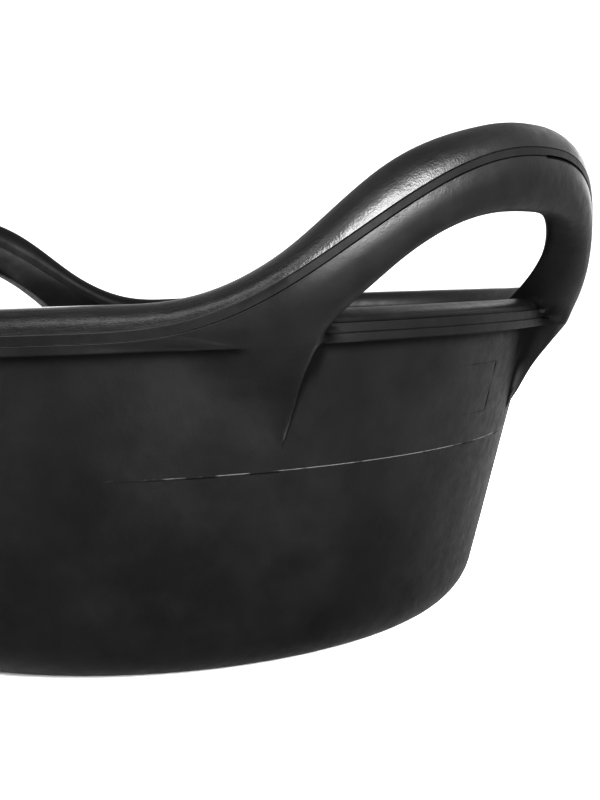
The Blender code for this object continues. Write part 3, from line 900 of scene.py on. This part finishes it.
class Nodes:
    """A short way to add and join shader nodes."""

    def __init__(self, name):
        self.material = bpy.data.materials.new(name)
        self.material.use_nodes = True
        self.tree = self.material.node_tree
        self.shader = self.tree.nodes["Principled BSDF"]

    def add(self, kind, settings=None, **inputs):
        node = self.tree.nodes.new(kind)
        for key, value in (settings or {}).items():
            setattr(node, key, value)
        for key, value in inputs.items():
            self.feed(node.inputs[key.replace("_", " ")], value)
        return node

    def feed(self, socket, value):
        if isinstance(value, bpy.types.NodeSocket):
            self.tree.links.new(value, socket)
        else:
            socket.default_value = value

    def math(self, operation, first, second=0.0, third=0.0):
        node = self.add("ShaderNodeMath", {"operation": operation})
        for socket, value in zip(node.inputs, (first, second, third)):
            self.feed(socket, value)
        return node.outputs[0]

    def noise(self, vector, scale, detail, roughness=0.55):
        node = self.add("ShaderNodeTexNoise", Vector=vector, Scale=scale, Detail=detail, Roughness=roughness)
        return node.outputs["Fac"]

    def ranged(self, value, low, high, to_low, to_high):
        node = self.add("ShaderNodeMapRange", {"clamp": True})
        for socket, number_in in zip(node.inputs, (value, low, high, to_low, to_high)):
            self.feed(socket, number_in)
        return node.outputs[0]

    def ranged_turn(self, turn, start, stop, full=1.0):
        """0 at one angle, in degrees, and full at the other."""
        return self.ranged(turn, radians(start), radians(stop), 0.0, full)

    def tint(self, share, first, second):
        """Colour between two, each an RGB triple or the output of a node."""
        node = self.add("ShaderNodeMix", {"data_type": "RGBA"})
        self.feed(node.inputs["Factor"], share)
        for socket, value in zip(node.inputs[6:8], (first, second)):
            self.feed(socket, value if isinstance(value, bpy.types.NodeSocket) else (*value, 1.0))
        return node.outputs[2]

    def bump(self, strength, distance, height, **normal):
        settings = {"Strength": strength, "Distance": distance, "Height": height}
        return self.add("ShaderNodeBump", **settings, **normal).outputs[0]

    def joined(self, operation, values):
        """All the values joined by one operation."""
        result = values[0]
        for value in values[1:]:
            result = self.math(operation, result, value)
        return result


def product(n, *factors):
    return n.joined("MULTIPLY", factors)


def most(n, *marks):
    return n.joined("MAXIMUM", marks)


def line(n, value, place, half_width):
    return n.math("COMPARE", value, place, half_width)


def inside(n, value, start, stop):
    return product(n, n.math("GREATER_THAN", value, start), n.math("LESS_THAN", value, stop))


def insert_outline(n, coordinates, x, y, height):
    """Faint outline that a mould insert left on the wall under one handle, from 0 to 1."""
    turn = n.math("ARCTAN2", y, x)
    left, bottom_left, right = (radians(turned) for turned in (2.0, 5.8, 12.4))
    low, high, half, side_half = 0.107, 0.1303, 0.0003, 0.0033
    broken = n.ranged(n.noise(coordinates, 90.0, 2.0), 0.42, 0.58, 0.3, 1.0)
    side = product(n, line(n, turn, right, side_half), inside(n, height, low, high))
    top = product(n, line(n, height, high, half), inside(n, turn, left, right))
    bottom = product(n, line(n, height, low, half), inside(n, turn, bottom_left, right))
    return product(n, most(n, product(n, most(n, top, bottom), 0.6), side), broken)


def mould_marks(n, sizes, coordinates, seam, split, outer):
    """Light and dark marks left by the mould, each from 0 to 1."""
    x, y, height = split.outputs
    light_place, light_half, light_strength = sizes.mould_line_height + 0.00025, 0.00022, 0.12
    dark_place, dark_half, dark_strength = sizes.mould_line_height - 0.0003, 0.0003, 0.6
    strip_place, strip_half, strip_strength = sizes.band_thickness - 0.0001, 0.0003, 0.045
    open_place, open_half = -0.0002, 0.0007
    turn = n.math("ARCTAN2", n.math("ABSOLUTE", y), n.math("ABSOLUTE", x))
    breaks = n.noise(coordinates, 70.0, 3.0)
    flash_and_glint, pressed = n.ranged(breaks, 0.44, 0.56, 0.0, 1.0), n.ranged(breaks, 0.56, 0.46, 0.0, 1.0)
    wall = product(n, n.ranged_turn(turn, 48.0, 36.0), outer)
    light_seam = product(n, line(n, height, light_place, light_half), flash_and_glint, wall, light_strength)
    dark_seam = product(n, line(n, height, dark_place, dark_half), pressed, wall, dark_strength)
    on_level = n.ranged_turn(turn, 22.0, 30.0, strip_strength)
    strip_edges = most(n, line(n, seam, 0.0, strip_half), line(n, seam, strip_place, strip_half))
    far_leg = n.math("GREATER_THAN", product(n, x, y), 0.0)
    open_line = product(n, line(n, seam, open_place, open_half), far_leg, n.ranged_turn(turn, 32.0, 22.0))
    insert = product(n, insert_outline(n, coordinates, x, y, height), outer)
    return most(n, light_seam, product(n, strip_edges, on_level)), most(n, dark_seam, open_line, insert)


def rubber_material(name, sizes, looks):
    """Matt black moulded rubber: cloudy bloom, fine grain, soft dents, mould marks, wear, dust that is also
    painted fill light, painted shade and painted glints.
    """
    n = Nodes(name)
    coordinates = n.add("ShaderNodeTexCoord").outputs["Object"]
    across, seam, wear, shade, edge, dust_and_painted_fill = (
        n.add("ShaderNodeAttribute", {"attribute_name": mark}).outputs["Fac"] for mark in MARKS
    )
    split = n.add("ShaderNodeSeparateXYZ", Vector=coordinates)
    cloud = n.noise(coordinates, 22.0, 5.0, 0.62)
    mottle = n.noise(coordinates, 160.0, 4.0, 0.65)
    grain = n.noise(coordinates, 1300.0, 2.0)
    dents = n.noise(coordinates, 55.0, 3.0)
    # Streaks run along the rim, so they vary fast across it and slowly along it
    slow, fast = 60.0, 1100.0
    x, y, height = split.outputs
    stretched = n.add(
        "ShaderNodeCombineXYZ", X=product(n, x, slow), Y=product(n, y, slow), Z=product(n, across, fast),
    )
    streaks = n.noise(stretched.outputs[0], 1.0, 3.0, 0.6)
    clean = n.math("LESS_THAN", dust_and_painted_fill, 0.01)
    light, dark = mould_marks(n, sizes, coordinates, seam, split, clean)
    # Painted shade: the shade mark darkens the colour and the sheen under the flange, at a bar's foot and
    # along a leg's side
    dark = most(n, dark, product(n, shade, 0.6))

    blotches = product(n, n.ranged(cloud, 0.38, 0.68, 0.0, 0.7), n.ranged(mottle, 0.30, 0.70, 0.55, 1.0))
    plain = n.tint(blotches, looks.rubber, looks.bloom)
    # Feed dust inside the bowl, also standing in as painted fill light
    body = n.tint(product(n, dust_and_painted_fill, n.ranged(cloud, 0.30, 0.70, 0.5, 1.0)), plain, looks.dust_and_painted_fill_colour)
    rubbed = n.tint(product(n, wear, n.ranged(streaks, 0.35, 0.72, 0.12, 0.5)), body, looks.worn)
    # Painted glint: edges that catch the light, and the torn flash along the mould's lines, are tinted pale
    edged = n.tint(most(n, light, edge), rubbed, looks.flash_and_glint)
    n.feed(n.shader.inputs["Base Color"], n.tint(product(n, dark, 0.9), edged, (0.0, 0.0, 0.0)))

    matt = n.ranged(mottle, 0.30, 0.70, looks.matt_roughness - 0.05, looks.matt_roughness + 0.07)
    smooth = n.ranged(streaks, 0.30, 0.70, looks.worn_roughness - 0.04, looks.worn_roughness + 0.08)
    n.feed(n.shader.inputs["Roughness"], n.ranged(wear, 0.0, 1.0, matt, smooth))
    low_down = n.ranged(height, 0.01, 0.13, 0.6, 1.0)
    gloss = n.ranged(wear, 0.0, 1.0, product(n, low_down, looks.matt_gloss), looks.worn_gloss)
    in_light = n.ranged(dark, 0.0, 1.0, 1.0, 0.1)
    n.feed(n.shader.inputs["Specular IOR Level"], product(n, gloss, in_light))

    soft = n.bump(0.35, 0.0012, dents)
    texture = n.math("ADD", grain, product(n, mottle, 1.5))
    fine = n.bump(n.ranged(wear, 0.0, 1.0, 0.30, 0.55), 0.00025, texture, Normal=soft)
    marks = n.bump(0.5, 0.0003, n.math("SUBTRACT", light, dark), Normal=fine)
    n.feed(n.shader.inputs["Normal"], marks)
    return n.material


def floor_material(looks):
    """Plain pale floor."""
    n = Nodes("pale_floor")
    coordinates = n.add("ShaderNodeTexCoord").outputs["Object"]
    shade = n.ranged(n.noise(coordinates, 3.0, 2.0), 0.3, 0.7, 0.0, 0.04)
    n.feed(n.shader.inputs["Base Color"], n.tint(shade, looks.floor, looks.floor_cloud))
    n.shader.inputs["Roughness"].default_value = 0.9
    n.shader.inputs["Specular IOR Level"].default_value = 0.1
    return n.material


# The stage

# Place, point aimed at, width and height, and power in watts of each light
LIGHTS = {
    "right_box": ((1.20, -0.60, 0.48), (0.24, -0.08, 0.20), (0.36, 0.85), 75.0),
    "grip_box": ((1.34, -0.20, 0.42), (0.25, -0.07, 0.20), (0.25, 0.40), 36.0),
    "back_box": ((0.47, 1.04, 0.62), (0.22, 0.02, 0.16), (1.30, 1.00), 15.0),
    "front_box": ((0.62, -1.05, 1.15), (0.10, -0.16, 0.16), (1.0, 0.35), 12.0),
    "left_box": ((-0.80, -0.94, 0.66), (0.0, -0.20, 0.16), (0.5, 0.30), 70.0),
}


def add_light(name, place, aim, size, power):
    """A soft rectangular studio light."""
    data = bpy.data.lights.new(name, "AREA")
    data.shape = "RECTANGLE"
    data.size, data.size_y = size
    data.energy = power
    light = add_object(name, data)
    light.location = place
    light.rotation_euler = (Vector(aim) - Vector(place)).to_track_quat("-Z", "Y").to_euler()


def add_camera():
    """The photograph's view: 54 mm lens, a little above the rim, leaning slightly."""
    place = Vector((0.5151, -0.4277, 0.1665))
    heading, pitch, roll = radians(46.62), 0.0912, -0.0361
    along = Vector((-cos(heading), sin(heading), 0.0))
    forward = cos(pitch) * along - Vector((0.0, 0.0, sin(pitch)))
    right = Vector((sin(heading), cos(heading), 0.0))
    up = right.cross(forward)
    leaning_right = cos(roll) * right + sin(roll) * up
    leaning_up = -sin(roll) * right + cos(roll) * up
    turned = Matrix((leaning_right, leaning_up, -forward)).transposed().to_4x4()
    data = bpy.data.cameras.new("camera")
    data.lens, data.sensor_width = 54.0, 36.0
    data.clip_start, data.clip_end = 0.01, 50.0
    camera = add_object("camera", data)
    camera.matrix_world = Matrix.Translation(place) @ turned
    bpy.context.scene.camera = camera


def add_floor(looks):
    half_size, under_feeder = 12.0, 0.0002
    bm = bmesh.new()
    bmesh.ops.create_grid(bm, x_segments=2, y_segments=2, size=half_size)
    bmesh.ops.translate(bm, vec=(0.0, 0.0, -under_feeder), verts=bm.verts)
    mesh = bpy.data.meshes.new("floor")
    bm.to_mesh(mesh)
    bm.free()
    mesh.materials.append(floor_material(looks))
    floor = add_object("floor", mesh)


def add_world():
    """A white studio, shown without film-like toning so that its ground stays white."""
    gamma, strength = 0.66, 1.35
    scene = bpy.context.scene
    scene.view_settings.view_transform = "Standard"
    scene.view_settings.gamma = gamma
    scene.world = bpy.data.worlds.new("white_studio")
    scene.world.use_nodes = True
    background = scene.world.node_tree.nodes["Background"]
    background.inputs["Color"].default_value = (1.0, 1.0, 1.0, 1.0)
    background.inputs["Strength"].default_value = strength


# Add-on

class FEEDER_OT_tub(bpy.types.Operator):
    """Build the tub with the lower halves of its handles"""

    bl_idname = "feeder.tub"
    bl_label = "Tub"

    def execute(self, context):
        sizes, looks = context.scene.feeder_sizes, context.scene.feeder_looks
        build_tub(Form(sizes), rubber_material("tub_rubber", sizes, looks))
        return {"FINISHED"}


class FEEDER_OT_rim(bpy.types.Operator):
    """Build the rolled rim that runs over both handles"""

    bl_idname = "feeder.rim"
    bl_label = "Rim"

    def execute(self, context):
        sizes, looks = context.scene.feeder_sizes, context.scene.feeder_looks
        build_rim(Form(sizes), rubber_material("rim_rubber", sizes, looks))
        return {"FINISHED"}


class FEEDER_OT_stage(bpy.types.Operator):
    """Set up the pale floor, the soft lights and the camera"""

    bl_idname = "feeder.stage"
    bl_label = "Stage"

    def execute(self, context):
        add_floor(context.scene.feeder_looks)
        add_world()
        for name, settings in LIGHTS.items():
            add_light(name, *settings)
        add_camera()
        return {"FINISHED"}


class FEEDER_PT_panel(bpy.types.Panel):
    """Buttons and sizes of the feeder"""

    bl_idname = "FEEDER_PT_panel"
    bl_label = "Ground feeder"
    bl_space_type = "VIEW_3D"
    bl_region_type = "UI"
    bl_category = "Feeder"

    def draw(self, context):
        for kind in OPERATORS:
            self.layout.operator(kind.bl_idname)
        for group in (context.scene.feeder_sizes, context.scene.feeder_looks):
            column = self.layout.column()
            for key in group.bl_rna.properties.keys():
                if key not in {"rna_type", "name"}:
                    column.prop(group, key, text=key.replace("_", " ").capitalize())


OPERATORS = (FEEDER_OT_tub, FEEDER_OT_rim, FEEDER_OT_stage)
CLASSES = (FeederSizes, FeederLooks) + OPERATORS + (FEEDER_PT_panel,)


def register():
    for kind in CLASSES:
        bpy.utils.register_class(kind)
    bpy.types.Scene.feeder_sizes = PointerProperty(type=FeederSizes)
    bpy.types.Scene.feeder_looks = PointerProperty(type=FeederLooks)


def unregister():
    del bpy.types.Scene.feeder_looks
    del bpy.types.Scene.feeder_sizes
    for kind in reversed(CLASSES):
        bpy.utils.unregister_class(kind)


def main():
    register()
    bpy.ops.feeder.tub()
    bpy.ops.feeder.rim()
    bpy.ops.feeder.stage()


if __name__ == "__main__":
    main()
